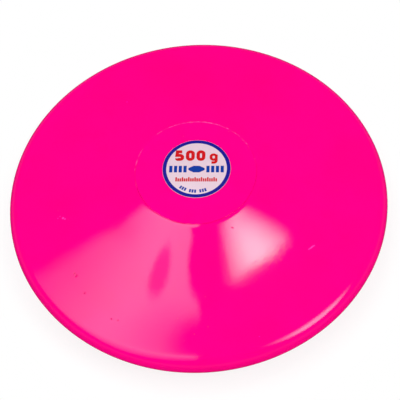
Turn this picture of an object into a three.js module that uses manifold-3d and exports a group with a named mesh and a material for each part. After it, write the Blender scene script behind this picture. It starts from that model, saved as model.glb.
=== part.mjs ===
// A half-kilogram soft training discus: two soft PVC shells welded round a foam core, a ballast ring and a hub.
// Millimetres, +Z up along the spin axis, with the origin at the centre of the face that the discus lies on.
import * as THREE from "three";
import { mergeVertices } from "three/addons/utils/BufferGeometryUtils.js";
import Module from "manifold-3d";

const wasm = await Module();
wasm.setup();

// Driving dimensions of the whole discus
const discusDiameter = 180;
const discusThickness = 37;
const centreDiscDiameter = 56;
const rimRadius = 6.25;

// Fits that several pieces share
const bondGap = 0.1;
const seatGap = 0.3;
const spinSegments = 72;
const cutOverrun = 1;

// Shells
const shellWall = 4;
const seamLandWidth = 11;
const webThickness = 2.8;
const tongueWidth = 2.4;
const tongueHeight = 2;
const tongueClearance = 0.2;
const rimSteps = 6;

// Centre discs
const discPlateThickness = 2.6;
const discStep = 0.25;
const discEdgeBevel = 0.2;
const discEdgeClearance = 0.15;
const spigotDiameter = 27.6;
const spigotWall = 2.2;
const spigotGrip = 8;
const spigotClearance = 0.2;
const fingerSlotCount = 6;
const fingerSlotWidth = 2.4;
const snapBeadHeight = 0.45;
const snapBeadWidth = 1.6;
const snapBeadRise = 1.4;

// Hub
const hubFlangeDiameter = 48;
const hubFlangeThickness = 2.4;
const hubBarrelWall = 4;
const hubRibCount = 8;
const hubRibThickness = 2;
const hubRibSetback = 1;
const hubRibRoot = 1.2;

// Ballast ring
const ballastWidth = 14.7;
const ballastEdgeBevel = 0.8;

// Label, stuck on by hand a little off the centre
const labelDiameter = 31.6;
const labelThickness = 0.2;
const labelGlueGap = 0.05;
const labelShiftX = 0.4;
const labelShiftY = 1.35;

// Heights are measured from the mid-plane, and each half of the discus is modelled above it.
const discusRadius = discusDiameter / 2;
const faceHeight = discusThickness / 2;
const discRadius = centreDiscDiameter / 2;
const pocketRadius = discRadius + discEdgeClearance;
const shoulderHeight = faceHeight - discStep;
const plateUnderside = faceHeight - discPlateThickness;
const pocketFloor = plateUnderside - bondGap;
const webUnderside = pocketFloor - webThickness;
const seamHeight = bondGap / 2;

// The straight flank runs from the edge of the centre disc's pocket and meets the rim's rounding at a tangent.
const rimCentre = discusRadius - rimRadius;
const flankRun = rimCentre - pocketRadius;
const flankAngle =
  Math.atan(shoulderHeight / flankRun) -
  Math.asin(rimRadius / Math.hypot(flankRun, shoulderHeight));
const flankHeight = (radius) =>
  shoulderHeight - Math.tan(flankAngle) * (radius - pocketRadius);

// The cavity's ceiling is the flank moved in by the wall, cut level under the centre disc.
const cavityDrop = shellWall / Math.cos(flankAngle);
const cavityRadius = discusRadius - seamLandWidth;
const cavityHeight = (radius) => flankHeight(radius) - cavityDrop;
const webRadius =
  pocketRadius +
  (shoulderHeight - cavityDrop - webUnderside) / Math.tan(flankAngle);

// The spigot passes the shell's opening and grips the hub's bore.
const spigotRadius = spigotDiameter / 2;
const openingRadius = spigotRadius + spigotClearance;
const hubTop = webUnderside - bondGap;
const spigotEnd = hubTop - spigotGrip;
const snapHeight = spigotEnd + snapBeadRise;
const hubFlangeRadius = hubFlangeDiameter / 2;
const hubBarrelRadius = openingRadius + hubBarrelWall;

// The ballast ring fills the narrow outer end of the cavity, and the foam fills what is left round the hub.
const ballastOuterRadius = cavityRadius - seatGap;
const ballastInnerRadius = ballastOuterRadius - ballastWidth;
const foamOuterRadius = ballastInnerRadius - seatGap;
const foamInnerRadius = hubFlangeRadius + seatGap;

const softPvc = { color: 0xff0082, roughness: 0.2, metalness: 0 };
const finishes = {
  shell: softPvc,
  centre_disc: softPvc,
  label: { color: 0xe9e0ea, roughness: 0.35, metalness: 0 },
  hub: { color: 0xd8d8d4, roughness: 0.5, metalness: 0 },
  ballast: { color: 0x3a3838, roughness: 0.8, metalness: 0 },
  foam: { color: 0xf2efe6, roughness: 0.95, metalness: 0 },
};

const materials = Object.fromEntries(
  Object.entries(finishes).map(([finish, look]) => [
    finish,
    new THREE.MeshStandardMaterial(look),
  ]),
);

// A profile of [radius, height] points, listed counter-clockwise, turned once round the spin axis.
function turned(profile) {
  const points = profile.map(
    ([radius, height]) => new THREE.Vector2(radius, height),
  );
  return new THREE.LatheGeometry(points, spinSegments).rotateX(Math.PI / 2);
}

function turnedRing(profile) {
  return turned([...profile, profile[0]]);
}

function solidFrom(geometry) {
  const bare = new THREE.BufferGeometry()
    .setAttribute("position", geometry.getAttribute("position"))
    .setIndex(geometry.getIndex());
  const merged = mergeVertices(bare);
  return new wasm.Manifold(
    new wasm.Mesh({
      numProp: 3,
      vertProperties: merged.getAttribute("position").array,
      triVerts: new Uint32Array(merged.getIndex().array),
    }),
  );
}

function geometryFrom(solid) {
  const { vertProperties, triVerts } = solid.getMesh();
  return new THREE.BufferGeometry()
    .setAttribute("position", new THREE.BufferAttribute(vertProperties, 3))
    .setIndex(new THREE.BufferAttribute(triVerts, 1));
}

function piece(name, geometry, finish) {
  const mesh = new THREE.Mesh(geometry, materials[finish]);
  mesh.name = name;
  return mesh;
}

// An upright block that reaches out from the spin axis at one of several evenly spaced turns.
function spoke(turn, from, to, width, bottom, top) {
  const block = new THREE.BoxGeometry(to - from, width, top - bottom)
    .translate((from + to) / 2, 0, (bottom + top) / 2)
    .rotateZ(turn);
  return solidFrom(block);
}

function spokes(count, ...size) {
  return Array.from({ length: count }, (_, i) =>
    spoke((i * 2 * Math.PI) / count, ...size),
  );
}

// The rim's rounding, from the seam up to where the flank begins.
function rimArc() {
  const start = Math.asin(seamHeight / rimRadius);
  const end = Math.PI / 2 - flankAngle;
  return Array.from({ length: rimSteps + 1 }, (_, i) => {
    const angle = start + ((end - start) * i) / rimSteps;
    return [
      rimCentre + rimRadius * Math.cos(angle),
      rimRadius * Math.sin(angle),
    ];
  });
}

// What the weld face carries between the cavity and the rim: a tongue that stands down, or the groove that takes it.
function seamTongue() {
  const inner = rimCentre - tongueWidth / 2;
  const outer = rimCentre + tongueWidth / 2;
  return [
    [inner, seamHeight],
    [inner, -tongueHeight],
    [outer, -tongueHeight],
    [outer, seamHeight],
  ];
}

function seamGroove() {
  const inner = rimCentre - tongueWidth / 2 - tongueClearance;
  const outer = rimCentre + tongueWidth / 2 + tongueClearance;
  const depth = tongueHeight + tongueClearance;
  return [
    [inner, seamHeight],
    [inner, depth],
    [outer, depth],
    [outer, seamHeight],
  ];
}

function shellHalf(seam) {
  return turnedRing([
    ...rimArc(),
    [pocketRadius, shoulderHeight],
    [pocketRadius, pocketFloor],
    [openingRadius, pocketFloor],
    [openingRadius, webUnderside],
    [webRadius, webUnderside],
    [cavityRadius, cavityHeight(cavityRadius)],
    [cavityRadius, seamHeight],
    ...seam,
  ]);
}

// A flat plate with a hollow spigot below it, and a bead near the spigot's end that snaps into the hub.
function discProfile() {
  const bore = spigotRadius - spigotWall;
  return [
    [0, plateUnderside],
    [bore, plateUnderside],
    [bore, spigotEnd],
    [spigotRadius, spigotEnd],
    [spigotRadius, snapHeight],
    [spigotRadius + snapBeadHeight, snapHeight + snapBeadWidth / 2],
    [spigotRadius, snapHeight + snapBeadWidth],
    [spigotRadius, plateUnderside],
    [discRadius, plateUnderside],
    [discRadius, faceHeight - discEdgeBevel],
    [discRadius - discEdgeBevel, faceHeight],
    [0, faceHeight],
  ];
}

// The spigot is slit into fingers, so that the bead can pass the shell's opening and spring out again.
function centreDisc() {
  const slots = spokes(
    fingerSlotCount,
    spigotRadius - spigotWall - cutOverrun,
    spigotRadius + snapBeadHeight + cutOverrun,
    fingerSlotWidth,
    spigotEnd - cutOverrun,
    hubTop,
  );
  return geometryFrom(
    slots.reduce(
      (disc, slot) => disc.subtract(slot),
      solidFrom(turned(discProfile())),
    ),
  );
}

// The groove's wall follows the bead, one clearance away from it.
function snapGroove(up) {
  const slack = spigotClearance / 2;
  const groove = [
    [openingRadius, snapHeight - slack],
    [openingRadius + snapBeadHeight, snapHeight + snapBeadWidth / 2],
    [openingRadius, snapHeight + snapBeadWidth + slack],
  ];
  return up ? groove : groove.map(([r, h]) => [r, -h]).reverse();
}

function hubSpool() {
  const flangeUnderside = hubTop - hubFlangeThickness;
  const barrel = turnedRing([
    [hubFlangeRadius, -hubTop],
    [hubFlangeRadius, -flangeUnderside],
    [hubBarrelRadius, -flangeUnderside],
    [hubBarrelRadius, flangeUnderside],
    [hubFlangeRadius, flangeUnderside],
    [hubFlangeRadius, hubTop],
    [openingRadius, hubTop],
    ...snapGroove(true).reverse(),
    ...snapGroove(false).reverse(),
    [openingRadius, -hubTop],
  ]);
  const ribs = spokes(
    hubRibCount,
    hubBarrelRadius - hubRibRoot,
    hubFlangeRadius - hubRibSetback,
    hubRibThickness,
    -flangeUnderside - hubRibRoot,
    flangeUnderside + hubRibRoot,
  );
  return geometryFrom(
    ribs.reduce((hub, rib) => hub.add(rib), solidFrom(barrel)),
  );
}

// A ring with a wedge section that the shells' taper holds on both sides.
function ballastRing() {
  const innerHeight = cavityHeight(ballastInnerRadius) - seatGap;
  const outerHeight = cavityHeight(ballastOuterRadius) - seatGap;
  const bevel = ballastEdgeBevel;
  return turnedRing([
    [ballastInnerRadius + bevel, -innerHeight],
    [ballastOuterRadius - bevel, -outerHeight],
    [ballastOuterRadius, bevel - outerHeight],
    [ballastOuterRadius, outerHeight - bevel],
    [ballastOuterRadius - bevel, outerHeight],
    [ballastInnerRadius + bevel, innerHeight],
    [ballastInnerRadius, innerHeight - bevel],
    [ballastInnerRadius, bevel - innerHeight],
  ]);
}

function foamHalf() {
  return turnedRing([
    [foamInnerRadius, seamHeight],
    [foamOuterRadius, seamHeight],
    [foamOuterRadius, cavityHeight(foamOuterRadius) - seatGap],
    [webRadius, webUnderside - seatGap],
    [foamInnerRadius, webUnderside - seatGap],
  ]);
}

function labelSticker() {
  const sticker = new THREE.CylinderGeometry(
    labelDiameter / 2,
    labelDiameter / 2,
    labelThickness,
    spinSegments,
  ).rotateX(Math.PI / 2);
  const height = faceHeight + labelGlueGap + labelThickness / 2;
  return sticker.translate(labelShiftX, labelShiftY, height);
}

function upperHalf() {
  const half = new THREE.Group();
  half.add(
    piece("upper_shell", shellHalf(seamGroove()), "shell"),
    piece("upper_centre_disc", centreDisc(), "centre_disc"),
    piece("upper_foam_core", foamHalf(), "foam"),
    piece("label", labelSticker(), "label"),
  );
  return half;
}

function lowerHalf() {
  const half = new THREE.Group();
  half.rotation.x = Math.PI;
  half.add(
    piece("lower_shell", shellHalf(seamTongue()), "shell"),
    piece("lower_centre_disc", centreDisc(), "centre_disc"),
    piece("lower_foam_core", foamHalf(), "foam"),
  );
  return half;
}

function middle() {
  const core = new THREE.Group();
  core.add(
    piece("hub_spool", hubSpool(), "hub"),
    piece("ballast_ring", ballastRing(), "ballast"),
  );
  return core;
}

const midPlane = new THREE.Group();
midPlane.position.z = faceHeight;
midPlane.add(lowerHalf(), middle(), upperHalf());

const discus = new THREE.Group();
discus.add(midPlane);

export default discus;
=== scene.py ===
"""Finished surfaces of a soft training discus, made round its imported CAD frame.

All lengths are metres in the frame's own axes: +Z runs up the spin axis and the label reads upright along +Y.
Outlines are measured from the mid-plane, where the two halves are welded, and each half is drawn above it.
"""

from math import asin, atan, cos, hypot, pi, radians, sin, tan
from typing import NamedTuple

import bmesh
import bpy
import numpy as np
from bpy.props import FloatProperty, FloatVectorProperty, IntProperty, PointerProperty
from mathutils import Matrix, Vector


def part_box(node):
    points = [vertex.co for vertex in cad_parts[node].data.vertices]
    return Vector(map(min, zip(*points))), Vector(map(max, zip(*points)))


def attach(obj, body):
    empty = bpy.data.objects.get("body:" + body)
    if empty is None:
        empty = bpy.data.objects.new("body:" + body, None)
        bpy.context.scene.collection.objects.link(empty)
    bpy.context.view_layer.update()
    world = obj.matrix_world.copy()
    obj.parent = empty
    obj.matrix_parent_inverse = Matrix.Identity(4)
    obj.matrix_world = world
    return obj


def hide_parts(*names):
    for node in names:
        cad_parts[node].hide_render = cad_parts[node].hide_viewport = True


bl_info = {
    "name": "Soft Training Discus",
    "version": (1, 0, 0),
    "blender": (4, 5, 0),
    "location": "3D View > Sidebar > Discus",
    "description": "Builds the finished surfaces of a soft training discus round its CAD frame",
    "category": "Mesh",
}

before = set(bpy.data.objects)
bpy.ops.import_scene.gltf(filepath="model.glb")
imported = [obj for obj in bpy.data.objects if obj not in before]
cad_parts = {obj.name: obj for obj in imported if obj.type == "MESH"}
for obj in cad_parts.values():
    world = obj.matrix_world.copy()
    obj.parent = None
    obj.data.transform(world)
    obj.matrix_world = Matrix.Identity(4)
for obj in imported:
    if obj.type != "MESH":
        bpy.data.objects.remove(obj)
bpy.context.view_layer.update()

MM = 0.001
MICRON = 0.000001
# Keeps a division by a length or an angle of nothing from failing
TINY = 0.000001
WHITE = (1.0, 1.0, 1.0, 1.0)

# Sizes that the frame gives, with heights taken from the mid-plane
FACE_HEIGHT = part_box("upper_centre_disc")[1].z / 2
RIM_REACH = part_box("upper_shell")[1].x
DISC_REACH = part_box("upper_centre_disc")[1].x
SPIGOT_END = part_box("upper_centre_disc")[0].z - FACE_HEIGHT
HUB_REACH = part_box("hub_spool")[1].x
HUB_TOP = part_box("hub_spool")[1].z - FACE_HEIGHT
BALLAST_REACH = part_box("ballast_ring")[1].x
FOAM_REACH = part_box("upper_foam_core")[1].x
LABEL_LOW, LABEL_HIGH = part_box("label")
LABEL_CENTRE = (LABEL_LOW + LABEL_HIGH) / 2
LABEL_REACH = (LABEL_HIGH.x - LABEL_LOW.x) / 2
LABEL_BOTTOM = LABEL_LOW.z - FACE_HEIGHT
LABEL_TOP = LABEL_HIGH.z - FACE_HEIGHT


def length(name, default, description):
    """A size that a user can change, in metres."""
    return FloatProperty(
        name=name,
        description=description,
        default=default,
        min=0.0,
        precision=5,
        subtype="DISTANCE",
        unit="LENGTH",
    )


def colour(name, default, description):
    """A linear colour that a user can change."""
    return FloatVectorProperty(
        name=name, description=description, default=default, min=0.0, max=1.0, size=3, subtype="COLOR"
    )


def level(name, default, description):
    """A brightness or a share of light that a user can change."""
    return FloatProperty(name=name, description=description, default=default, min=0.0)


class DiscusSizes(bpy.types.PropertyGroup):
    """Sizes of the discus that the frame's boxes don't give."""

    spin_steps: IntProperty(
        name="Spin steps", description="Faces in one turn round the axis", default=384, min=24
    )
    rim_rounding: length("Rim rounding", 6.25 * MM, "Radius of the rounded rim")
    wall: length("Shell wall", 4 * MM, "Thickness of the shells' flanks")
    weld_face: length("Weld face", 11 * MM, "Width of the face on which the shells are welded")
    web: length("Web", 2.8 * MM, "Thickness of the shell under the centre disc")
    tongue_width: length("Tongue width", 2.4 * MM, "Width of the tongue on the lower weld face")
    tongue_height: length("Tongue height", 2 * MM, "Height of the tongue above the mid-plane")
    tongue_slack: length("Tongue slack", 0.2 * MM, "Clearance of the tongue in its groove")
    edge_round: length("Edge rounding", 0.12 * MM, "Rounding of the shells' moulded edges")
    waviness: length("Flank waviness", 0.03 * MM, "How far the soft flank strays from a true cone")
    weld_bead: length("Weld bead", 0.05 * MM, "How far the weld stands proud at the rim")
    plate: length("Disc plate", 2.6 * MM, "Thickness of the centre disc's plate")
    disc_step: length("Disc step", 0.25 * MM, "How far the centre disc stands above the shell")
    disc_gap: length("Disc gap", 0.04 * MM, "Gap between the centre disc and its pocket")
    disc_edge: length("Disc edge", 0.12 * MM, "Rounding of the centre disc's upper edge")
    flash_height: length("Flash height", 0.13 * MM, "Height of the ragged flash round the centre disc")
    flash_width: length("Flash width", 0.35 * MM, "Width of the band that the flash rises from")
    bond: length("Bond", 0.1 * MM, "Gap between pieces that are glued or welded")
    seat: length("Seat", 0.3 * MM, "Gap between pieces that only lie against each other")
    spigot_reach: length("Spigot radius", 13.8 * MM, "Outer radius of the centre disc's spigot")
    spigot_wall: length("Spigot wall", 2.2 * MM, "Wall of the spigot")
    spigot_slack: length("Spigot slack", 0.2 * MM, "Clearance of the spigot in the hub")
    finger_gap: length("Finger gap", 2.4 * MM, "Width of the slits between the spigot's fingers")
    bead_height: length("Snap bead height", 0.45 * MM, "Height of the bead that snaps into the hub")
    bead_width: length("Snap bead width", 1.6 * MM, "Width of the snap bead")
    bead_rise: length("Snap bead rise", 1.4 * MM, "Where the snap bead begins above the spigot's end")
    hub_wall: length("Hub wall", 4 * MM, "Wall of the hub's barrel")
    hub_flange: length("Hub flange", 2.4 * MM, "Thickness of the hub's flanges")
    rib_width: length("Rib width", 2 * MM, "Thickness of the hub's ribs")
    rib_setback: length("Rib setback", 1 * MM, "How far the ribs end inside the flanges' edge")
    rib_root: length("Rib root", 1.2 * MM, "How deep the ribs run into the barrel and flanges")
    ballast_width: length("Ballast width", 14.7 * MM, "Radial width of the ballast ring")
    core_round: length("Core rounding", 0.8 * MM, "Rounding of the edges of foam and ballast")
    print_height: length("Print height", 0.03 * MM, "Thickness of the printed ink")


class DiscusColours(bpy.types.PropertyGroup):
    """Linear colours of the discus's finishes."""

    shell: colour("Shell", (1.0, 0.0, 0.231), "Soft vinyl of the shells")
    shell_worn: colour("Worn shell", (0.93, 0.0, 0.19), "Soft vinyl where it has been handled most")
    disc: colour("Centre disc", (1.0, 0.0, 0.242), "Soft vinyl of the centre discs")
    # Painted shade: a darker colour for pits and dents, standing in for the shade that falls in them
    pit_shade: colour("Dirt", (0.72, 0.0, 0.14), "Dirt in the pits and dents of the soft vinyl")
    # Partly painted glints: a pale colour for scuffed marks, which also stands in for the light that some of
    # them catch
    scuff_and_glint: colour("Scuff", (1.0, 0.07, 0.6), "Pale scuff on the soft vinyl")
    # Partly painted glints: the pale colour of ragged flash, which also stands in for the light that catches
    # it
    torn_flash_glint: colour("Torn flash", (1.0, 0.16, 0.55), "Torn moulding flash round the centre disc")
    film: colour("Label film", (0.73, 0.555, 0.645), "Label film")
    blue: colour("Blue ink", (0.002, 0.038, 0.33), "Blue ink in the middle of the label")
    navy: colour("Navy ink", (0.0085, 0.0075, 0.27), "Blue ink of the label's ring")
    red: colour("Red ink", (0.60, 0.004, 0.008), "Red ink of the label")
    hub: colour("Hub", (0.68, 0.68, 0.66), "Moulded plastic of the hub")
    ballast: colour("Ballast", (0.042, 0.04, 0.04), "Mineral-filled compound of the ballast ring")
    foam: colour("Foam", (0.89, 0.87, 0.8), "Closed-cell foam of the core")


class DiscusStudio(bpy.types.PropertyGroup):
    """The studio: three soft lamps over a pale floor."""

    lamp_height: length("Lamp height", 1.2, "Height of the lamps above the floor")
    left_level: level("Left lamp", 6.0, "Brightness of the large left lamp")
    strip_level: level("Strip lamp", 12.9, "Brightness of the narrow lamp overhead")
    strip_tint: colour("Strip tint", (1.0, 1.0, 0.86), "Colour of the narrow lamp's light")
    front_level: level("Front lamp", 5.8, "Brightness of the front lamp")
    ambient: level("Ambient", 0.57, "Brightness of the surroundings on the object")
    dark_sky: level("Dark sky", 0.005, "What gloss shows high above the horizon")
    pale_rim: level("Horizon", 0.1, "What gloss shows at the horizon")
    floor_gloss: level("Near floor", 0.02, "What gloss shows of the floor near by")
    floor_bounce: level("Floor bounce", 0.8, "Share of light that the floor returns")
    floor_reach: length("Floor reach", 6.0, "Half the width of the floor")


def sizes_and_colours(context):
    """What the user has set for the discus: its sizes, which are s below, and its colours, which are c."""
    return context.scene.discus_sizes, context.scene.discus_colours


# Shapes worked out as whole arrays


def unit(vectors):
    """Vectors at length one. A vector of no length stays as it is."""
    return vectors / np.maximum(np.linalg.norm(vectors, axis=-1, keepdims=True), TINY**2)


def smooth_step(share):
    """Zero below 0, one above 1, and 3 s^2 - 2 s^3 between."""
    share = np.clip(share, 0, 1)
    return share * share * (3 - 2 * share)


def places_within(counts):
    """The run that each item is in, and its place in that run, for runs of given lengths laid end to end."""
    run = np.repeat(np.arange(len(counts)), counts)
    first = np.repeat(np.cumsum(counts) - counts, counts)
    return run, np.arange(counts.sum()) - first


def filleted(*corners):
    """An outline whose corners, each given as (x, y, rounding, steps), are turned into arcs.

    An arc starts and ends rounding / tan(half the inside angle) from its corner, its centre lies
    rounding / sin(half the inside angle) along the bisector, and its points turn evenly from start to end.
    Corners without rounding stay points, so an outline whose ends have none can be an open path too.
    Of points that fall together, one is kept."""
    corners = np.array(corners, float)
    point, rounding = corners[:, :2], corners[:, 2:3]
    back, ahead = unit(np.roll(point, 1, 0) - point), unit(np.roll(point, -1, 0) - point)
    half = np.arccos(np.clip((back * ahead).sum(1, keepdims=True), -1, 1)) / 2
    half = np.maximum(half, TINY)
    reach = rounding / np.tan(half)
    centre = point + unit(back + ahead) * rounding / np.sin(half)
    start, end = point + back * reach - centre, point + ahead * reach - centre
    corner, place = places_within(corners[:, 3].astype(int) + 1)
    share = (place / np.maximum(corners[corner, 3], 1))[:, None]
    sweep = np.maximum(np.pi - 2 * half[corner], TINY)
    outline = centre[corner] + (
        start[corner] * np.sin((1 - share) * sweep) + end[corner] * np.sin(share * sweep)
    ) / np.sin(sweep)
    apart = np.linalg.norm(outline - np.roll(outline, 1, 0), axis=1) > MICRON
    return outline[apart]


def with_stations(outline, longest):
    """The same closed outline with its long sides cut into even steps, none longer than longest."""
    side = np.roll(outline, -1, 0) - outline
    counts = np.maximum(1, np.ceil(np.linalg.norm(side, axis=1) / longest)).astype(int)
    run, place = places_within(counts)
    return outline[run] + side[run] * (place / counts[run])[:, None]


def below(outline):
    """The outline mirrored below the mid-plane, and still listed counter-clockwise."""
    return outline[::-1] * (1, -1)


def turns(count):
    """Even angles of one closed turn, as a column."""
    return np.linspace(0, 2 * np.pi, count, endpoint=False)[:, None]


def spun(outline, around):
    """The outline's points (r, z) moved to (r cos t, r sin t, z) for each angle t: one ring per row."""
    radius, height = outline[None, :, 0], outline[None, :, 1]
    rings = np.broadcast_arrays(radius * np.cos(around), radius * np.sin(around), height)
    return np.stack(rings, -1)


def tube(rings, closed=True):
    """Faces over rings of points. Each ring closes on itself, and the rings close up or end in flat caps."""
    count, size, _ = rings.shape
    index = np.arange(count * size).reshape(count, size)
    ahead = np.roll(index, -1, 0) if closed else index[1:]
    here = index if closed else index[:-1]
    quads = np.stack([here, ahead, np.roll(ahead, -1, 1), np.roll(here, -1, 1)], -1).reshape(-1, 4)
    caps = [] if closed else [index[0], index[-1][::-1]]
    return rings.reshape(-1, 3), quads, caps


def dome(rings):
    """A tube whose rings start and end on the axis. The faces along the axis are left out, and the ends'
    points merge into poles."""
    points, quads, _ = tube(rings)
    size = rings.shape[1]
    return points, quads[quads[:, 0] % size != size - 1], []


def slab(outline, bottom, top):
    """A flat outline of (x, y) points, listed counter-clockwise, from bottom to top."""
    heights = np.array([top, bottom])[:, None]
    return tube(np.stack(np.broadcast_arrays(outline[:, 0], outline[:, 1], heights), -1), closed=False)


def stroke(path, width, bottom, top, closed=False):
    """A printed line of even width along (x, y) points.

    Each point moves sideways by half the width along (n1 + n2) / (1 + n1 . n2), where n1 and n2 are the
    left-hand normals of its two sides, so that corners are mitred."""
    ahead = unit(np.roll(path, -1, 0) - path)[:, ::-1] * (-1, 1)
    before = np.roll(ahead, 1, 0)
    if not closed:
        ahead[-1], before[0] = before[-1], ahead[0]
    shift = (before + ahead) / (1 + (before * ahead).sum(1, keepdims=True)) * width / 2
    left, right = path + shift, path - shift
    rings = np.stack([right, right, left, left], 1)
    heights = np.broadcast_to([bottom, top, top, bottom], rings.shape[:2])
    return tube(np.concatenate([rings, heights[..., None]], -1), closed)


def joined(*shapes):
    """Several shapes as one."""
    firsts = np.cumsum([0] + [len(points) for points, _, _ in shapes])
    return (
        np.concatenate([points for points, _, _ in shapes]),
        np.concatenate([quads + first for (_, quads, _), first in zip(shapes, firsts)]),
        [cap + first for (_, _, caps), first in zip(shapes, firsts) for cap in caps],
    )


def moved(shape, x=0.0, y=0.0, z=0.0):
    """A shape shifted to its place."""
    points, quads, caps = shape
    return points + (x, y, z), quads, caps


def turned_by(shape, angle):
    """A shape turned about the Z axis."""
    points, quads, caps = shape
    spin = np.array([[cos(angle), sin(angle), 0], [-sin(angle), cos(angle), 0], [0, 0, 1]])
    return points @ spin, quads, caps


def turned_over(shape):
    """A shape turned half round the X axis, so that what was above the mid-plane is below it."""
    points, quads, caps = shape
    return points * (1, -1, -1), quads, caps


def ripple(angle, along, orders, seed):
    """Cosines of the given orders round the axis, whose phases drift along the second parameter, summed and
    divided by the root of their number."""
    rng = np.random.default_rng(seed)
    phase = rng.uniform(0, 2 * np.pi, len(orders))
    drift = rng.uniform(-1, 1, len(orders))
    waves = np.cos(angle[..., None] * orders + phase + along[..., None] * drift)
    return waves.sum(-1) / np.sqrt(len(orders))


# Points closer than this are merged, and edges that turn further than this stay crisp
MERGE_WITHIN = MICRON / 10
CRISP_EDGE = radians(35)


def solid_mesh(name, shape):
    """A mesh from a shape, with coinciding points merged and sharp edges kept crisp."""
    points, quads, caps = shape
    sizes = np.array([4] * len(quads) + [len(cap) for cap in caps])
    corners = np.concatenate([quads.ravel(), *caps])
    mesh = bpy.data.meshes.new(name)
    mesh.vertices.add(len(points))
    mesh.vertices.foreach_set("co", points.astype(np.float32).ravel())
    mesh.loops.add(len(corners))
    mesh.loops.foreach_set("vertex_index", corners.astype(np.int32))
    mesh.polygons.add(len(sizes))
    mesh.polygons.foreach_set("loop_start", (np.cumsum(sizes) - sizes).astype(np.int32))
    mesh.update(calc_edges=True)
    work = bmesh.new()
    work.from_mesh(mesh)
    bmesh.ops.remove_doubles(work, verts=work.verts, dist=MERGE_WITHIN)
    work.to_mesh(mesh)
    work.free()
    mesh.shade_smooth()
    mesh.set_sharp_from_angle(angle=CRISP_EDGE)
    return mesh


def add_piece(name, shape, material, replaces=()):
    """A finished piece that rides with the discus and stands for the CAD nodes that it replaces."""
    piece = bpy.data.objects.new(name, solid_mesh(name, moved(shape, z=FACE_HEIGHT)))
    piece.data.materials.append(material)
    bpy.context.scene.collection.objects.link(piece)
    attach(piece, "root")
    if replaces:
        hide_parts(*replaces)
    return piece


# Node trees


class Wire:
    """An output socket that takes part in sums: each sign adds the Math node that it stands for."""

    def __init__(self, board, socket):
        self.board = board
        self.socket = socket

    def math(self, operation, *others):
        """A Math node on this socket and others, or numbers."""
        return self.board.node("Math", {"operation": operation}, dict(enumerate([self, *others])))

    def __add__(self, other):
        return self.math("ADD", other)

    __radd__ = __add__

    def __mul__(self, other):
        return self.math("MULTIPLY", other)

    __rmul__ = __mul__

    def __sub__(self, other):
        return self.math("SUBTRACT", other)

    def __rsub__(self, other):
        return self.board.node("Math", {"operation": "SUBTRACT"}, {0: other, 1: self})

    def __truediv__(self, other):
        return self.math("DIVIDE", other)

    def __pow__(self, other):
        return self.math("POWER", other)


class Board:
    """One node tree, built by naming each node's type, settings and inputs."""

    def __init__(self, tree):
        tree.nodes.clear()
        self.tree = tree

    def node(self, kind, settings=None, inputs=None, output=0):
        """Adds a node, sets it up, gives its sockets values or links, and returns one of its outputs."""
        made = self.tree.nodes.new("ShaderNode" + kind)
        for name, value in (settings or {}).items():
            setattr(made, name, value)
        for name, value in (inputs or {}).items():
            if isinstance(value, Wire):
                self.tree.links.new(value.socket, made.inputs[name])
            else:
                made.inputs[name].default_value = value
        return Wire(self, made.outputs[output]) if made.outputs else None

    def smooth(self, value, low=0.0, high=1.0):
        """Zero below low, one above high and an S between."""
        settings = {"interpolation_type": "SMOOTHSTEP"}
        return self.node("MapRange", settings, {"Value": value, "From Min": low, "From Max": high})

    def rays(self):
        """Ones for rays from the camera and for rays that gloss or glass sends on, and zeros otherwise."""
        names = ("Is Camera Ray", "Is Glossy Ray", "Is Transmission Ray")
        camera, glossy, clear = (self.node("LightPath", output=name) for name in names)
        return camera, glossy + clear

    def place(self):
        """The shaded point in the object's own coordinates."""
        return self.node("TexCoord", output="Object")

    def axis(self, vector, name):
        """One coordinate of a vector."""
        return self.node("SeparateXYZ", None, {"Vector": vector}, output=name)

    def noise(self, where, size, detail=2.0, roughness=0.5):
        """Noise whose lumps are about the given size."""
        inputs = {"Vector": where, "Scale": 1 / size, "Detail": detail, "Roughness": roughness}
        return self.node("TexNoise", None, inputs)

    def cells(self, where, size):
        """How far the shaded point is from the nearest of scattered points, in shares of their spacing."""
        return self.node("TexVoronoi", None, {"Vector": where, "Scale": 1 / size}, output="Distance")

    def mix(self, share, start, end):
        """A colour between two, by share."""
        return self.node("Mix", {"data_type": "RGBA"}, {0: share, 6: start, 7: end}, output=2)

    def bump(self, height, depth, normal=None):
        """A normal bent by a height from 0 to 1 that stands for the given depth."""
        inputs = {"Height": height, "Distance": depth}
        if normal is not None:
            inputs["Normal"] = normal
        return self.node("Bump", None, inputs)

    def distance_from(self, where, place):
        """How far the shaded point is from a place."""
        return self.node("VectorMath", {"operation": "DISTANCE"}, {0: where, 1: place}, output="Value")

    def emission(self, strength, tint=WHITE):
        """A surface that glows."""
        return self.node("Emission", None, {"Color": tint, "Strength": strength})

    def blend(self, share, first, second):
        """A shader between two, by share."""
        return self.node("MixShader", None, {0: share, 1: first, 2: second})


def solid(rgb):
    """A linear colour without transparency."""
    return (*rgb, 1.0)


def shaded(rgb, factor):
    """A linear colour made darker or paler by a factor."""
    return tuple(channel * factor for channel in rgb)


def new_material(name):
    """A material with an empty node tree, and the board that fills it."""
    material = bpy.data.materials.new(name)
    material.use_nodes = True
    return material, Board(material.node_tree)


def finish(board, tone, roughness, normal):
    """A principled shader over a colour, roughness and normal, wired to the material's output."""
    inputs = {"Base Color": tone, "Roughness": roughness, "Normal": normal}
    shader = board.node("BsdfPrincipled", None, inputs)
    board.node("OutputMaterial", None, {"Surface": shader})


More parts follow.
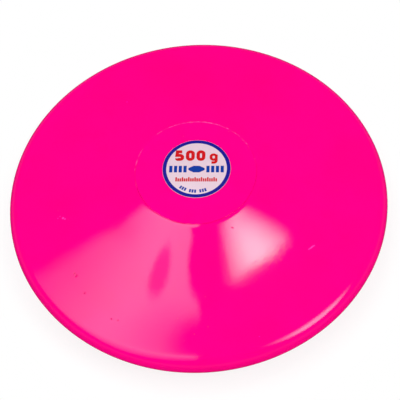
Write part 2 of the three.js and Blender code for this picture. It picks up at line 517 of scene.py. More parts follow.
# Marks on the upper flank: millimetres from the axis, degrees from +X, and the mark's radius in millimetres
DENTS = (
    (71.7, -136.9, 1.0),
    (71.6, -137.9, 0.75),
    (74.6, -129.9, 0.68),
    (77.6, -116.9, 0.5),
    (76.9, -114.7, 0.42),
    (33.7, -59.3, 0.46),
    (50.6, -73.2, 0.3),
)
# Pale marks on the upper flank, partly real scuffing and partly painted glints where light catches the flank
SCUFFS_AND_GLINTS = (
    (62.8, -35.5, 0.4),
    (63.0, -34.9, 0.45),
    (63.2, -34.3, 0.5),
    (63.3, -33.8, 0.5),
    (63.5, -33.2, 0.5),
    (63.8, -32.7, 0.4),
    (64.4, -161.4, 0.7),
    (63.6, -160.6, 0.5),
    (65.5, -162.7, 0.35),
    (66.7, -162.2, 0.35),
    (57.5, 128.4, 0.45),
    (81.6, -69.3, 0.3),
)
SCUFF_AND_GLINT_CORE = 0.4
SCUFF_AND_GLINT_SHARE = 0.65

# The vinyl's texture: the size of each kind of lump, and the depth of those that stand out of the surface
CLOUD_SIZE = 38 * MM
STREAK_SIZE = 9 * MM
SWELL_SIZE, SWELL_DEPTH = 12 * MM, 20 * MICRON
PEEL_SIZE, PEEL_DEPTH = 2.6 * MM, 1.5 * MICRON
GRAIN_SIZE, GRAIN_DEPTH = 0.7 * MM, 5.5 * MICRON
PIT_SPACING, PIT_DEPTH = 7.5 * MM, 12 * MICRON
DENT_DEPTH = 160 * MICRON

# The rags of flash ripped off round the centre disc, painted pale as glints: how far outside the centre disc
# the middle of their ring lies, and how far from there its core and its edge end
RAG_OFFSET, RAG_CORE, RAG_EDGE = 0.15 * MM, 0.15 * MM, 0.4 * MM
# The sizes of the gaps between them, and how far the painted glints take to fade out towards the near half,
# away from where light catches the flash
LONG_GAP, SHORT_GAP, GLINT_FADE = 6 * MM, 1.5 * MM, 8 * MM

# The label's film and inks: the size of their mottle and of the film's slow shifts, and the mottle's depth
FILM_MOTTLE, INK_MOTTLE, FILM_CLOUD, MOTTLE_DEPTH = 0.5 * MM, 0.3 * MM, 9 * MM, 3 * MICRON
# Where the ring's ink takes over from the ink in the middle
RING_START = (LABEL_REACH - 3 * MM, LABEL_REACH - 2 * MM)


def marks(board, where, places, core=0.0):
    """A mask that is one in each mark's core, a share of its radius, and falls to zero at its edge."""
    mask = 0.0
    for place, radius in places:
        spot = 1 - board.smooth(board.distance_from(where, place), core * radius, radius)
        mask = spot.math("MAXIMUM", mask)
    return mask


def torn_edge_glint(board, where):
    """A mask of the pale rags where the moulding flash was ripped off between shell and centre disc: a thin
    ring, broken by noise, painted pale as glints and strongest on its far half, where light catches it."""
    x, y = board.axis(where, "X"), board.axis(where, "Y")
    off_middle = ((x * x + y * y) ** 0.5 - (DISC_REACH + RAG_OFFSET)).math("ABSOLUTE")
    ring = 1 - board.smooth(off_middle, RAG_CORE, RAG_EDGE)
    long_gaps = board.smooth(board.noise(where, LONG_GAP), 0.44, 0.62)
    short_gaps = board.smooth(board.noise(where, SHORT_GAP, detail=3.0, roughness=0.7), 0.42, 0.66)
    # Painted glint: the factor on y makes the flash paler on the far half, where light catches it
    return ring * long_gaps * short_gaps * board.smooth(y - 0.15 * x, -GLINT_FADE, GLINT_FADE)


def soft_vinyl(name, c, base, torn_flash_glint=False, dents=(), scuffs_and_glints=()):
    """Glossy soft vinyl: orange peel, shifts of colour and gloss, pits, and the listed dents and pale marks.
    Pits and dents are coloured darker as painted shade. The pale marks are partly scuffing and partly painted
    glints, and the ring of ragged flash is painted pale as glints.
    """
    material, board = new_material(name)
    where = board.place()
    cloud = board.noise(where, CLOUD_SIZE, detail=3.0)
    streak = board.noise(where, STREAK_SIZE, detail=4.0, roughness=0.6)
    swell = board.noise(where, SWELL_SIZE, detail=1.0)
    peel = board.noise(where, PEEL_SIZE, detail=1.0)
    grain = board.noise(where, GRAIN_SIZE, detail=0.0)
    pits = 1 - board.smooth(board.cells(where, PIT_SPACING), 0.020, 0.045)
    dented = marks(board, where, dents)
    wear = board.smooth(cloud, 0.35, 0.75) * 0.5 + board.smooth(streak, 0.5, 0.9) * 0.3
    skin = board.mix(wear, solid(base), solid(c.shell_worn))
    if scuffs_and_glints:
        # Painted glints over real scuffing: the pale marks are mixed into the colour
        skin = board.mix(marks(board, where, scuffs_and_glints, SCUFF_AND_GLINT_CORE) * SCUFF_AND_GLINT_SHARE, skin, solid(c.scuff_and_glint))
    if torn_flash_glint:
        # Painted glints: the pale ring of flash rags is mixed into the colour, strongest on the far half
        skin = board.mix(torn_edge_glint(board, where), skin, solid(c.torn_flash_glint))
    # Painted shade: pits and dents are coloured darker where shade falls in them
    surface = board.mix(pits + dented, skin, solid(c.pit_shade))
    roughness = 0.02 + 0.02 * cloud + 0.01 * streak + 0.9 * pits
    normal = board.bump(1 - pits, PIT_DEPTH)
    if dents:
        normal = board.bump(1 - dented, DENT_DEPTH, normal)
    for relief, depth in ((swell, SWELL_DEPTH), (peel, PEEL_DEPTH), (grain, GRAIN_DEPTH)):
        normal = board.bump(relief, depth, normal)
    finish(board, surface, roughness, normal)
    return material


def label_film(name, base):
    """Satin printed film with a faint paper-like mottle."""
    material, board = new_material(name)
    where = board.place()
    mottle = board.noise(where, FILM_MOTTLE, detail=3.0)
    cloud = board.noise(where, FILM_CLOUD)
    shade = board.mix(mottle * 0.6 + cloud * 0.3, solid(base), solid(shaded(base, 0.9)))
    finish(board, shade, 0.22 + 0.08 * mottle, board.bump(mottle, MOTTLE_DEPTH))
    return material


def printed_ink(name, base, outer=None):
    """Flat ink, a little uneven as a screen print is. The outer tone takes over at the label's ring."""
    material, board = new_material(name)
    where = board.place()
    tone = solid(base)
    if outer:
        middle = (LABEL_CENTRE.x, LABEL_CENTRE.y, LABEL_HIGH.z)
        far_out = board.smooth(board.distance_from(where, middle), *RING_START)
        tone = board.mix(far_out, tone, solid(outer))
    mottle = board.noise(where, INK_MOTTLE, detail=3.0)
    shade = board.mix(mottle * 0.15, tone, solid((0, 0, 0)))
    finish(board, shade, 0.18 + 0.08 * mottle, board.bump(mottle, MOTTLE_DEPTH))
    return material


def moulded(name, base, lump, depth, roughness, patch_tone):
    """Moulded or foamed stock: lumps of one size, and patches whose colour is the base's times a tone."""
    material, board = new_material(name)
    where = board.place()
    lumps = board.noise(where, lump, detail=3.0, roughness=0.6)
    cells = board.cells(where, 2.5 * lump)
    patches = board.smooth(cells, 0.25, 0.6) * 0.7 + lumps * 0.3
    shade = board.mix(patches, solid(base), solid(shaded(base, patch_tone)))
    finish(board, shade, roughness + 0.1 * lumps, board.bump(lumps * 0.5 + cells * 0.5, depth))
    return material


# Outlines that several pieces share, as (radius, height) above the mid-plane


def pocket_reach(s):
    """Radius of the pocket that the centre disc lies in."""
    return DISC_REACH + s.disc_gap


def shoulder_height(s):
    """Where the flank starts, below the centre disc's face."""
    return FACE_HEIGHT - s.disc_step


def flank_slope(s):
    """The flank's fall per unit of radius, for a line from the pocket's edge tangent to the rim's rounding.

    It is tan(atan(rise / run) - asin(rounding / distance)), from that edge to the rounding's centre."""
    run = RIM_REACH - s.rim_rounding - pocket_reach(s)
    rise = shoulder_height(s)
    return tan(atan(rise / run) - asin(s.rim_rounding / hypot(run, rise)))


def flank_height(s, radius):
    """Height of the straight flank at a radius."""
    return shoulder_height(s) - flank_slope(s) * (radius - pocket_reach(s))


def flank_marks(s, table):
    """The place on the upper flank, in the frame's own height, and the radius of each mark in a table."""
    places = []
    for reach, turn, radius in table:
        out, angle = reach * MM, radians(turn)
        place = (out * cos(angle), out * sin(angle), FACE_HEIGHT + flank_height(s, out))
        places.append((place, radius * MM))
    return places


def cavity_height(s, radius):
    """The cavity's ceiling is the flank moved in by the wall."""
    return flank_height(s, radius) - s.wall / cos(atan(flank_slope(s)))


def pocket_floor(s):
    """Where the web begins, under the centre disc's plate."""
    return FACE_HEIGHT - s.plate - s.bond


def web_underside(s):
    """Where the web ends and the cavity begins."""
    return pocket_floor(s) - s.web


def web_reach(s):
    """Where the web's underside runs into the cavity's ceiling."""
    return pocket_reach(s) + (cavity_height(s, pocket_reach(s)) - web_underside(s)) / flank_slope(s)


def opening_reach(s):
    """Radius of the web's opening and of the hub's bore, which the spigot passes."""
    return s.spigot_reach + s.spigot_slack


def seam_groove(s):
    """The groove in the upper weld face."""
    middle, half = RIM_REACH - s.rim_rounding, s.tongue_width / 2 + s.tongue_slack
    depth, edge = s.tongue_height + s.tongue_slack, s.edge_round
    return [
        (middle - half, s.bond / 2, edge, 2),
        (middle - half, depth, edge, 2),
        (middle + half, depth, edge, 2),
        (middle + half, s.bond / 2, edge, 2),
    ]


def seam_tongue(s):
    """The tongue on the lower weld face, drawn as if that face looked down."""
    middle, half, edge = RIM_REACH - s.rim_rounding, s.tongue_width / 2, 2 * s.edge_round
    return [
        (middle - half, s.bond / 2, 0, 0),
        (middle - half, -s.tongue_height, edge, 3),
        (middle + half, -s.tongue_height, edge, 3),
        (middle + half, s.bond / 2, 0, 0),
    ]


def shell_outline(s, seam):
    """Half the shell's section: rim, flank, pocket for the disc, web, cavity and weld face. The rim's arc
    ends at the mid-plane, where the halves are welded."""
    cavity_reach, edge = RIM_REACH - s.weld_face, s.edge_round
    return filleted(
        (RIM_REACH, 0, 0, 0),
        (RIM_REACH, flank_height(s, RIM_REACH), s.rim_rounding, 44),
        (pocket_reach(s), shoulder_height(s), edge, 4),
        (pocket_reach(s), pocket_floor(s), edge, 2),
        (opening_reach(s), pocket_floor(s), 2 * edge, 3),
        (opening_reach(s), web_underside(s), 2 * edge, 3),
        (web_reach(s), web_underside(s), s.wall / 2, 4),
        (cavity_reach, cavity_height(s, cavity_reach), s.wall / 4, 5),
        (cavity_reach, s.bond / 2, 2 * edge, 3),
        *seam,
    )


def spun_shell(s, outline, seed):
    """A spun shell whose outer flank strays a little from the cone: its height changes by the waviness
    times a ripple, which fades out near the disc and before the rim."""
    longest_step, inner_fade, outer_fade, drift = 1.5 * MM, 4 * MM, 9 * MM, 8
    outline = with_stations(outline, longest_step)
    around = turns(s.spin_steps)
    rings = spun(outline, around)
    radius = outline[:, 0]
    start, end = pocket_reach(s), RIM_REACH - s.rim_rounding
    fade = smooth_step((radius - start) / inner_fade) * smooth_step((end - radius) / outer_fade)
    on_skin = np.abs(np.abs(outline[:, 1]) - flank_height(s, radius)) < s.wall / 2
    angle, along = np.broadcast_arrays(around, drift * radius / end)
    rings[..., 2] += s.waviness * fade * on_skin * ripple(angle, along, np.arange(2, 9), seed)
    return tube(rings)


class DISCUS_OT_shells(bpy.types.Operator):
    """Make the two half shells"""

    bl_idname = "discus.shells"
    bl_label = "Shells"

    def execute(self, context):
        s, c = sizes_and_colours(context)
        dents, scuffs_and_glints = flank_marks(s, DENTS), flank_marks(s, SCUFFS_AND_GLINTS)
        marked = soft_vinyl("upper_shell_vinyl", c, c.shell, torn_flash_glint=True, dents=dents, scuffs_and_glints=scuffs_and_glints)
        plain = soft_vinyl("lower_shell_vinyl", c, c.shell)
        upper, lower = shell_outline(s, seam_groove(s)), below(shell_outline(s, seam_tongue(s)))
        add_piece("upper_shell_skin", spun_shell(s, upper, 3), marked, ["upper_shell"])
        add_piece("lower_shell_skin", spun_shell(s, lower, 8), plain, ["lower_shell"])
        return {"FINISHED"}


class DISCUS_OT_rim_weld(bpy.types.Operator):
    """Make the weld bead that runs round the rim"""

    bl_idname = "discus.rim_weld"
    bl_label = "Rim weld"

    def execute(self, context):
        """The bead's section is an ellipse round the seam. One ripple changes how far it stands out, and by
        less how wide it is."""
        s, c = sizes_and_colours(context)
        section_steps, unevenness, spread = 14, 0.25, 3.2
        around, across = turns(2 * s.spin_steps), turns(section_steps).T
        orders = np.array([5, 9, 14, 23, 37, 61])
        uneven = 1 + unevenness * ripple(around[:, 0], 0 * around[:, 0], orders, 21)[:, None]
        reach = RIM_REACH + s.weld_bead * uneven * np.cos(across)
        rise = spread * s.weld_bead * (0.7 + 0.3 * uneven) * np.sin(across)
        rings = np.stack([reach * np.cos(around), reach * np.sin(around), rise], -1)
        vinyl = soft_vinyl("rim_weld_vinyl", c, c.shell)
        add_piece("rim_weld_bead", tube(rings), vinyl)
        return {"FINISHED"}


def disc_plate(s, seed, flash):
    """The centre disc's plate and the root of its spigot.

    Ragged flash rises from the outer band of its face, by its height times a ripple cut off at zero."""
    under, bore = FACE_HEIGHT - s.plate, s.spigot_reach - s.spigot_wall
    outline = filleted(
        (0, under, 0, 0),
        (bore, under, 2 * s.edge_round, 3),
        (bore, HUB_TOP, 0, 0),
        (s.spigot_reach, HUB_TOP, 0, 0),
        (s.spigot_reach, under, 2 * s.edge_round, 3),
        (DISC_REACH, under, s.edge_round, 3),
        (DISC_REACH, FACE_HEIGHT, s.disc_edge, 5),
        (DISC_REACH - s.flash_width, FACE_HEIGHT, 0, 0),
        (DISC_REACH - 2 * s.flash_width, FACE_HEIGHT, 0, 0),
        (0, FACE_HEIGHT, 0, 0),
    )
    around = turns(2 * s.spin_steps)
    rings = spun(outline, around)
    ramp = smooth_step((outline[:, 0] - DISC_REACH + s.flash_width) / s.flash_width)
    angle = around[:, 0]
    coarse = ripple(angle, 0 * angle, np.arange(3, 17), seed)
    fine = ripple(angle, 0 * angle, np.arange(30, 110, 7), seed + 1)
    ragged = np.clip(0.15 + 0.55 * coarse + 0.3 * fine, 0, 1)[:, None]
    rings[..., 2] += flash * ragged * ramp * (outline[:, 1] > FACE_HEIGHT - s.disc_edge)
    return dome(rings)


def spigot_fingers(s, count=6):
    """The spigot's fingers, each with the bead that snaps into the hub at its end.

    A finger is its section turned through the angle that the slits leave: at radius r a slit takes
    asin(half its width / r) on each side."""
    bore, snap = s.spigot_reach - s.spigot_wall, SPIGOT_END + s.bead_rise
    root, inner_end, outer_end, bead = HUB_TOP + s.bead_height, 0.6 * MM, 0.8 * MM, 0.3 * MM
    outline = filleted(
        (bore, root, 0, 0),
        (bore, SPIGOT_END, inner_end, 3),
        (s.spigot_reach, SPIGOT_END, outer_end, 4),
        (s.spigot_reach, snap, bead, 3),
        (s.spigot_reach + s.bead_height, snap + s.bead_width / 2, bead, 4),
        (s.spigot_reach, snap + s.bead_width, bead, 3),
        (s.spigot_reach, root, 0, 0),
    )
    slit = np.arcsin(s.finger_gap / 2 / outline[:, 0])
    share = np.linspace(0, 1, 13)[:, None]
    finger = tube(spun(outline, slit + share * (2 * pi / count - 2 * slit)), closed=False)
    return [turned_by(finger, 2 * pi * i / count) for i in range(count)]


class DISCUS_OT_centre_discs(bpy.types.Operator):
    """Make the two centre discs, which snap into the hub"""

    bl_idname = "discus.centre_discs"
    bl_label = "Centre discs"

    def execute(self, context):
        s, c = sizes_and_colours(context)
        edged = soft_vinyl("upper_disc_vinyl", c, c.disc, torn_flash_glint=True)
        plain = soft_vinyl("lower_disc_vinyl", c, c.disc)
        upper = joined(disc_plate(s, 5, s.flash_height), *spigot_fingers(s))
        lower = turned_over(joined(disc_plate(s, 12, 0.0), *spigot_fingers(s)))
        add_piece("upper_centre_disc_skin", upper, edged, ["upper_centre_disc"])
        add_piece("lower_centre_disc_skin", lower, plain, ["lower_centre_disc"])
        return {"FINISHED"}


# The label's print, as (x, y) from the label's centre

# A blue ring at the edge
RING_INSET, RING_WEIGHT = 0.93 * MM, 1.7 * MM
# A blue side view of a discus, with upright bars of its height on both sides
PROFILE_LEVEL, PROFILE_WIDTH, PROFILE_HEIGHT = -0.4 * MM, 7.6 * MM, 3.6 * MM
BAR_COUNT, BAR_START, BAR_PITCH, BAR_WEIGHT = 4, 5.3 * MM, 2.2 * MM, 1.5 * MM
# Blue marks on an arc at the foot, in threes, with angles in radians from straight down
ARC_PLACES, ARC_START, ARC_PITCH = (0, 1, 2, 4, 5, 6, 8, 9, 10), -0.6, 0.096
ARC_INNER, ARC_OUTER, ARC_WEIGHT = 11.5 * MM, 13.2 * MM, 0.85 * MM
# The weight in red figures
FIGURE_LEVEL, FIGURE_HEIGHT, FIGURE_WIDTH = 7.1 * MM, 5.9 * MM, 4.2 * MM
FIGURE_WEIGHT, FIGURE_GAP, UNIT_WEIGHT = 1.65 * MM, 0.75 * MM, 1.32 * MM
# Red marks like a ruler's
RULER_LEVEL, RULER_COUNT, RULER_PITCH = -6.0 * MM, 20, 0.97 * MM
RULER_TALL, RULER_SHORT, RULER_WEIGHT = 2.3 * MM, 1.7 * MM, 0.7 * MM


def oval(width, height):
    """The middle line of a closed upright ring, such as a nought."""
    x, y, rounding = width / 2, height / 2, 0.98 * min(width, height) / 2
    return filleted(*((px, py, rounding, 9) for px, py in ((x, -y), (x, y), (-x, y), (-x, -y))))


def five(width, height):
    """The middle line of a five: bar, stem and bowl."""
    x, y, waist = width / 2, height / 2, 0.02 * height
    return filleted(
        (0.85 * x, y, 0, 0),
        (-0.85 * x, y, 0, 0),
        (-x, waist, 0, 0),
        (x, waist, 0.42 * width, 8),
        (x, -y, 0.42 * width, 8),
        (-x, -y, 0.2 * width, 4),
        (-x, -0.72 * y, 0, 0),
    )


def hook(width, height):
    """The middle line of a descender that curls to the left."""
    return filleted((0, 0, 0, 0), (0, -height, 0.45 * width, 7), (-0.9 * width, -height, 0, 0))


class LabelPrint:
    """Collects the shapes of one ink, which lie on the film and sink a little into it."""

    def __init__(self, s):
        self.bottom, self.top = LABEL_TOP - 1.3 * s.print_height, LABEL_TOP
        self.shapes = []

    def line(self, path, weight, x=0.0, y=0.0, closed=False, sink=0.0):
        """A line along the path, moved to (x, y). It lies lower where it sinks below another."""
        shape = stroke(np.array(path), weight, self.bottom, self.top - sink, closed)
        self.shapes.append(moved(shape, x, y))

    def area(self, outline, y=0.0):
        """A filled outline."""
        self.shapes.append(moved(slab(outline, self.bottom, self.top), y=y))

    def add(self, name, material, slot):
        """Puts all the shapes on the label as one piece."""
        place = moved(joined(*self.shapes), LABEL_CENTRE.x, LABEL_CENTRE.y)
        add_piece(name, place, material)


def print_figures(ink):
    """The weight in grams: a five, two noughts and the unit, which is a smaller bowl with a hooked stem."""
    tall, wide, pitch = FIGURE_HEIGHT - FIGURE_WEIGHT, FIGURE_WIDTH - FIGURE_WEIGHT, FIGURE_WIDTH + FIGURE_GAP
    left = -1.62 * pitch
    ink.line(five(wide, tall), FIGURE_WEIGHT, left, FIGURE_LEVEL)
    for place in (1, 2):
        ink.line(oval(wide, tall), FIGURE_WEIGHT, left + place * pitch, FIGURE_LEVEL, closed=True)
    bowl, wide, x = 0.7 * FIGURE_HEIGHT - UNIT_WEIGHT, 0.9 * FIGURE_WIDTH - UNIT_WEIGHT, left + 3.2 * pitch
    y = FIGURE_LEVEL - 0.15 * FIGURE_HEIGHT
    ink.line(oval(wide, bowl), UNIT_WEIGHT, x, y, closed=True)
    stem = hook(wide, bowl + 0.27 * FIGURE_HEIGHT)
    ink.line(stem, UNIT_WEIGHT, x + wide / 2, y + bowl / 2, sink=2 * MICRON)


def print_ruler(ink):
    """A centred row of upright marks, of which every third one is tall."""
    for i in range(RULER_COUNT):
        rise = RULER_SHORT if i % 3 else RULER_TALL
        x = (i - (RULER_COUNT - 1) / 2) * RULER_PITCH
        ink.line([(0, -RULER_TALL / 2), (0, rise - RULER_TALL / 2)], RULER_WEIGHT, x, RULER_LEVEL)


def discus_profile(width, height):
    """The side view of a plain discus: flat in the middle, straight flanks and rounded rims."""
    x, y, flat, rim = width / 2, height / 2, 0.18 * width, 0.14 * height
    return filleted(
        (x, -rim, rim, 4),
        (x, rim, rim, 4),
        (flat, y, 0.1 * width, 3),
        (-flat, y, 0.1 * width, 3),
        (-x, rim, rim, 4),
        (-x, -rim, rim, 4),
        (-flat, -y, 0.1 * width, 3),
        (flat, -y, 0.1 * width, 3),
    )


def print_ring(ink):
    """The ring at the label's edge."""
    around = turns(240)
    ring = np.concatenate([np.cos(around), np.sin(around)], 1)
    ink.line(ring * (LABEL_REACH - RING_INSET), RING_WEIGHT, closed=True)


def print_profile(ink):
    """The side view of a discus, between upright bars."""
    ink.area(discus_profile(PROFILE_WIDTH, PROFILE_HEIGHT), PROFILE_LEVEL)
    for side in (-1, 1):
        for i in range(BAR_COUNT):
            x, y = side * (BAR_START + i * BAR_PITCH), PROFILE_HEIGHT / 2
            ink.line([(0, -y), (0, y)], BAR_WEIGHT, x, PROFILE_LEVEL)


def print_arc(ink):
    """Spokes of an arc, each from its outer to its inner end."""
    for place in ARC_PLACES:
        angle = ARC_START + place * ARC_PITCH - pi / 2
        spoke = np.array([(cos(angle), sin(angle))])
        ink.line(np.concatenate([spoke * ARC_OUTER, spoke * ARC_INNER]), ARC_WEIGHT)


class DISCUS_OT_label(bpy.types.Operator):
    """Make the label's film and its two inks"""

    bl_idname = "discus.label"
    bl_label = "Label"

    def execute(self, context):
        s, c = sizes_and_colours(context)
        top = LABEL_TOP - s.print_height
        outline = filleted(
            (0, LABEL_BOTTOM, 0, 0),
            (LABEL_REACH, LABEL_BOTTOM, 0, 0),
            (LABEL_REACH, top, s.print_height, 3),
            (0, top, 0, 0),
        )
        film = moved(dome(spun(outline, turns(s.spin_steps))), LABEL_CENTRE.x, LABEL_CENTRE.y)
        add_piece("label_film", film, label_film("label_film", c.film), ["label"])

        blue, red = LabelPrint(s), LabelPrint(s)
        print_ring(blue)
        print_profile(blue)
        print_arc(blue)
        print_figures(red)
        print_ruler(red)
        blue.add("label_print_blue", printed_ink("blue_ink", c.blue, c.navy), "print_blue")
        red.add("label_print_red", printed_ink("red_ink", c.red), "print_red")
        return {"FINISHED"}


# Faces in one turn of the core's pieces, and the longest side in the sections of ballast ring and foam
HUB_STEPS, CORE_STEPS = 144, 192
BALLAST_SIDE, FOAM_SIDE = 3 * MM, 4 * MM


def hub_shape(s, ribs=8):
    """The hub: a flanged barrel with a snap groove at each end of its bore, and ribs between the flanges."""
    under, barrel, bore = HUB_TOP - s.hub_flange, opening_reach(s) + s.hub_wall, opening_reach(s)
    snap, slack = SPIGOT_END + s.bead_rise, s.spigot_slack / 2
    crest_reach, crest = bore + s.bead_height, snap + s.bead_width / 2
    high, low = snap + s.bead_width + slack, snap - slack
    edge, root, groove = 0.4 * MM, 1.2 * MM, 0.2 * MM
    upper = [
        (barrel, under, root, 4),
        (HUB_REACH, under, edge, 3),
        (HUB_REACH, HUB_TOP, edge, 3),
        (bore, HUB_TOP, edge, 3),
        (bore, high, 0, 0),
        (crest_reach, crest, groove, 3),
        (bore, low, 0, 0),
    ]
    lower = [(radius, -height, rounding, steps) for radius, height, rounding, steps in reversed(upper)]
    outline = filleted(*upper, *lower)
    start, end, half = barrel - s.rib_root, HUB_REACH - s.rib_setback, s.rib_width / 2
    plan = filleted(
        (start, -half, 0, 0),
        (end, -half, 0.6 * half, 3),
        (end, half, 0.6 * half, 3),
        (start, half, 0, 0),
    )
    rib = slab(plan, -under - s.rib_root, under + s.rib_root)
    spool = tube(spun(outline, turns(HUB_STEPS)))
    return joined(spool, *(turned_by(rib, 2 * pi * i / ribs) for i in range(ribs)))


def ballast_shape(s):
    """A ring with a wedge section that the shells' taper holds on both sides."""
    inner = BALLAST_REACH - s.ballast_width
    inner_rise, outer_rise = cavity_height(s, inner) - s.seat, cavity_height(s, BALLAST_REACH) - s.seat
    edge = s.core_round
    outline = filleted(
        (BALLAST_REACH, -outer_rise, edge, 4),
        (BALLAST_REACH, outer_rise, edge, 4),
        (inner, inner_rise, edge, 4),
        (inner, -inner_rise, edge, 4),
    )
    return tube(spun(with_stations(outline, BALLAST_SIDE), turns(CORE_STEPS)))


def foam_outline(s):
    """Half the foam core's section."""
    inner, edge, top = HUB_REACH + s.seat, s.core_round, web_underside(s) - s.seat
    return filleted(
        (inner, s.bond / 2, edge, 3),
        (FOAM_REACH, s.bond / 2, edge, 3),
        (FOAM_REACH, cavity_height(s, FOAM_REACH) - s.seat, edge, 4),
        (web_reach(s), top, 2 * edge, 3),
        (inner, top, edge, 4),
    )


class DISCUS_OT_core(bpy.types.Operator):
    """Make the hub, the ballast ring and the foam core"""

    bl_idname = "discus.core"
    bl_label = "Core"

    def execute(self, context):
        s, c = sizes_and_colours(context)
        plastic = moulded(
            "hub_plastic", c.hub, lump=1.2 * MM, depth=8 * MICRON, roughness=0.42, patch_tone=0.94
        )
        compound = moulded(
            "ballast_compound", c.ballast, lump=1.8 * MM, depth=60 * MICRON, roughness=0.72, patch_tone=1.8
        )
        foam = moulded(
            "core_foam", c.foam, lump=1.1 * MM, depth=120 * MICRON, roughness=0.85, patch_tone=0.86
        )
        add_piece("hub_spool_skin", hub_shape(s), plastic, ["hub_spool"])
        add_piece("ballast_ring_skin", ballast_shape(s), compound, ["ballast_ring"])
        half, around = with_stations(foam_outline(s), FOAM_SIDE), turns(CORE_STEPS)
        upper, lower = spun(half, around), spun(below(half), around)
        add_piece("upper_foam_skin", tube(upper), foam, ["upper_foam_core"])
        add_piece("lower_foam_skin", tube(lower), foam, ["lower_foam_core"])
        return {"FINISHED"}


# The studio

# How much of the object's shadow the camera sees, and how far out it fades
SHADOW_SHARE, SHADOW_FADE = 0.2, (RIM_REACH + 2 * MM, RIM_REACH + 18 * MM)
SHADOW_PAINT = (0.98, 0.98, 0.98)
# Where gloss sees the dark near floor turn pale
FLOOR_FADE = (1.5 * RIM_REACH, 4 * RIM_REACH)
# Where gloss sees the pale horizon end, as a share of straight up
HORIZON_FADE = (0.06, 0.3)


def stage_plane(name, centre, turn, half_long, half_short, material):
    """A level rectangle that isn't part of the object."""
    x, y = half_long, half_short
    mesh = bpy.data.meshes.new(name)
    mesh.from_pydata([(-x, -y, 0), (x, -y, 0), (x, y, 0), (-x, y, 0)], [], [(0, 1, 2, 3)])
    mesh.materials.append(material)
    plane = bpy.data.objects.new(name, mesh)
    plane.matrix_world = Matrix.Translation(centre) @ Matrix.Rotation(turn, 4, "Z")
    bpy.context.scene.collection.objects.link(plane)
    return plane


class Side(NamedTuple):
    """A straight edge of a lamp's light, square to the way that its turn (degrees from +X) points."""

    turn: float
    distance: float
    blur: float


class Oval(NamedTuple):
    """An oval patch of light or shade at (x, y), whose long half points along its turn (degrees from +X)."""

    x: float
    y: float
    turn: float
    half_long: float
    half_short: float
    softness: float = 1.0
    depth: float = 1.0


def soft_panel(name, height, brightness, sheet, sides=(), ovals=(), shades=(), tint=(1.0, 1.0, 1.0)):
    """A flat softbox whose light has soft edges. It lies on the rectangle round the sheet's oval, and it
    glows with its brightness times a factor for each shape on it.

    A side's factor is the smooth step of (distance - x cos turn - y sin turn) / blur. An oval's is the
    smooth step of (1 - share of the way to its edge) / softness, and a shade's is one less its depth times
    that. The panel also lets the surroundings' light through."""
    material, board = new_material(name)
    where = board.node("NewGeometry", output="Position")
    x, y = board.axis(where, "X"), board.axis(where, "Y")

    def inside(oval):
        angle = radians(oval.turn)
        dx, dy = x - oval.x, y - oval.y
        along = (dx * cos(angle) + dy * sin(angle)) / oval.half_long
        across = (dy * cos(angle) - dx * sin(angle)) / oval.half_short
        return board.smooth((1 - (along * along + across * across) ** 0.5) / oval.softness)

    glow = brightness
    for side in sides:
        beyond = x * cos(radians(side.turn)) + y * sin(radians(side.turn))
        glow = glow * board.smooth((side.distance - beyond) / side.blur)
    for oval in ovals:
        glow = glow * inside(oval)
    for shade in shades:
        glow = glow * (1 - shade.depth * inside(shade))
    lit, clear = board.emission(glow, solid(tint)), board.node("BsdfTransparent")
    board.node("OutputMaterial", None, {"Surface": board.node("AddShader", None, {0: lit, 1: clear})})
    centre, turn = (sheet.x, sheet.y, height), radians(sheet.turn)
    panel = stage_plane(name, centre, turn, sheet.half_long, sheet.half_short, material)
    panel.visible_camera = False
    return panel


def pale_floor(st):
    """White where the camera sees it, apart from the object's faint shadow, and pale grey to the object.

    Gloss shows it nearly dark close by, and as pale as the horizon further out."""
    material, board = new_material("floor")
    camera, gloss = board.rays()
    out = board.distance_from(board.place(), (0, 0, 0))
    near = 1 - board.smooth(out, *SHADOW_FADE)
    shadowed = board.node("BsdfDiffuse", None, {"Color": solid(SHADOW_PAINT)})
    seen = board.blend(near * SHADOW_SHARE, board.emission(1.0), shadowed)
    bounce = board.node("BsdfDiffuse", None, {"Color": solid([st.floor_bounce] * 3)})
    far = board.smooth(out, *FLOOR_FADE)
    in_gloss = board.emission(st.floor_gloss + (st.pale_rim - st.floor_gloss) * far)
    surface = board.blend(camera, board.blend(gloss, bounce, in_gloss), seen)
    board.node("OutputMaterial", None, {"Surface": surface})
    return stage_plane("floor", (0, 0, 0), 0, st.floor_reach, st.floor_reach, material)


def pale_surroundings(st):
    """A white backdrop for the camera. Gloss shows a pale horizon, with a dark room above."""
    world = bpy.data.worlds.new("surroundings")
    world.use_nodes = True
    board = Board(world.node_tree)
    camera, gloss = board.rays()
    rise = board.axis(board.node("TexCoord", output="Generated"), "Z")
    horizon = 1 - board.smooth(rise, *HORIZON_FADE)
    in_gloss = st.dark_sky + (st.pale_rim - st.dark_sky) * horizon
    strength = camera + (1 - camera) * (gloss * in_gloss + (1 - gloss) * st.ambient)
    backdrop = board.node("Background", None, {"Color": WHITE, "Strength": strength})
    board.node("OutputWorld", None, {"Surface": backdrop})
    return world


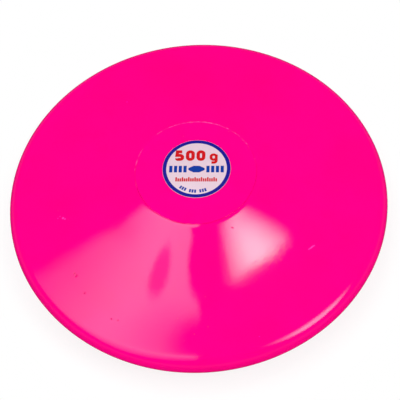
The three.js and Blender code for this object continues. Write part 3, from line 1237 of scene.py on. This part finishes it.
# The light on the lamps, found from the highlights in the photograph, as it lies at the lamps' height
LEFT_SHEET = Oval(x=-0.855, y=-0.489, turn=5.8, half_long=1.05, half_short=1.25)
LEFT_SIDES = (
    Side(turn=0.0, distance=-0.026, blur=0.026),
    Side(turn=106.7, distance=0.545, blur=0.12),
    Side(turn=174.1, distance=1.751, blur=1.8),
    Side(turn=-44.2, distance=0.875, blur=2.177),
)
LEFT_SHADES = (
    Oval(x=-0.005, y=0.0145, turn=0.0, half_long=0.109, half_short=0.0937, softness=0.25),
    Oval(x=-0.01, y=0.11, turn=0.0, half_long=0.058, half_short=0.04, softness=0.3),
    Oval(x=0.0, y=-0.125, turn=0.0, half_long=0.22, half_short=0.0625, softness=0.6),
    Oval(x=-0.625, y=0.36, turn=90.0, half_long=0.07, half_short=0.04, softness=0.6, depth=0.8),
    Oval(x=-0.254, y=0.017, turn=-20.0, half_long=0.074, half_short=0.068, softness=0.5, depth=0.82),
    Oval(x=-0.645, y=0.3405, turn=133.8, half_long=0.322, half_short=0.05, depth=0.45),
    Oval(x=0.015, y=-0.152, turn=-9.9, half_long=0.544, half_short=0.093, depth=0.79),
    Oval(x=-0.913, y=0.25, turn=12.2, half_long=0.754, half_short=0.634, depth=0.777),
)
STRIP_LIGHT = Oval(x=0.276, y=0.179, turn=37.5, half_long=0.319, half_short=0.093, softness=0.15)
STRIP_HOT_SPOT = Oval(x=0.329, y=0.1335, turn=40.5, half_long=0.311, half_short=0.145)
FRONT_LIGHT = Oval(x=1.0366, y=-0.5058, turn=-32.3, half_long=0.805, half_short=0.512, softness=0.68)


class DISCUS_OT_studio(bpy.types.Operator):
    """Make the floor, the surroundings and the soft lamps"""

    bl_idname = "discus.studio"
    bl_label = "Studio"

    def execute(self, context):
        st = context.scene.discus_studio
        context.scene.world = pale_surroundings(st)
        pale_floor(st)
        height = st.lamp_height
        soft_panel("left_softbox", height, st.left_level, LEFT_SHEET, LEFT_SIDES, shades=LEFT_SHADES)
        strip = [STRIP_LIGHT, STRIP_HOT_SPOT]
        soft_panel("strip_softbox", height, st.strip_level, STRIP_LIGHT, ovals=strip, tint=st.strip_tint)
        soft_panel("front_softbox", height, st.front_level, FRONT_LIGHT, ovals=[FRONT_LIGHT])
        return {"FINISHED"}


# The photograph's point of view, found from the outline of the discus
VIEW_TURN = radians(5.77)
VIEW_RISE = radians(58.523)
VIEW_ROLL = radians(-4.924)
VIEW_DISTANCE = 0.4215
VIEW_LENS = 79.07
VIEW_SHIFT = (0.00655, -0.0202)


class DISCUS_OT_camera(bpy.types.Operator):
    """Make the camera at the photograph's point of view"""

    bl_idname = "discus.camera"
    bl_label = "Camera"

    def execute(self, context):
        back = Vector((sin(VIEW_TURN) * cos(VIEW_RISE), -cos(VIEW_TURN) * cos(VIEW_RISE), sin(VIEW_RISE)))
        right = Vector((cos(VIEW_TURN), sin(VIEW_TURN), 0))
        axes = Matrix((right, back.cross(right), back)).transposed() @ Matrix.Rotation(VIEW_ROLL, 3, "Z")
        lens = bpy.data.cameras.new("photo_view")
        lens.lens = VIEW_LENS
        lens.shift_x, lens.shift_y = VIEW_SHIFT
        camera = bpy.data.objects.new("photo_view", lens)
        place = Vector((0, 0, FACE_HEIGHT)) + back * VIEW_DISTANCE
        camera.matrix_world = Matrix.Translation(place) @ axes.to_4x4()
        context.scene.collection.objects.link(camera)
        context.scene.camera = camera
        context.scene.view_settings.view_transform = "Standard"
        return {"FINISHED"}


OPERATORS = (
    DISCUS_OT_camera,
    DISCUS_OT_shells,
    DISCUS_OT_rim_weld,
    DISCUS_OT_centre_discs,
    DISCUS_OT_label,
    DISCUS_OT_core,
    DISCUS_OT_studio,
)


class DISCUS_PT_parts(bpy.types.Panel):
    """Lists what builds the discus"""

    bl_idname = "DISCUS_PT_parts"
    bl_label = "Soft Training Discus"
    bl_space_type = "VIEW_3D"
    bl_region_type = "UI"
    bl_category = "Discus"

    def draw(self, context):
        for operator in OPERATORS:
            self.layout.operator(operator.bl_idname)


CLASSES = (DiscusSizes, DiscusColours, DiscusStudio, *OPERATORS, DISCUS_PT_parts)


def register():
    """Makes the classes and the scene's settings known to Blender."""
    for each in CLASSES:
        bpy.utils.register_class(each)
    bpy.types.Scene.discus_sizes = PointerProperty(type=DiscusSizes)
    bpy.types.Scene.discus_colours = PointerProperty(type=DiscusColours)
    bpy.types.Scene.discus_studio = PointerProperty(type=DiscusStudio)


def unregister():
    """Takes back what register did, in reverse order."""
    del bpy.types.Scene.discus_studio
    del bpy.types.Scene.discus_colours
    del bpy.types.Scene.discus_sizes
    for each in reversed(CLASSES):
        bpy.utils.unregister_class(each)


def main():
    """Builds everything in order."""
    register()
    for operator in OPERATORS:
        getattr(bpy.ops.discus, operator.bl_idname.split(".")[1])()


if __name__ == "__main__":
    main()
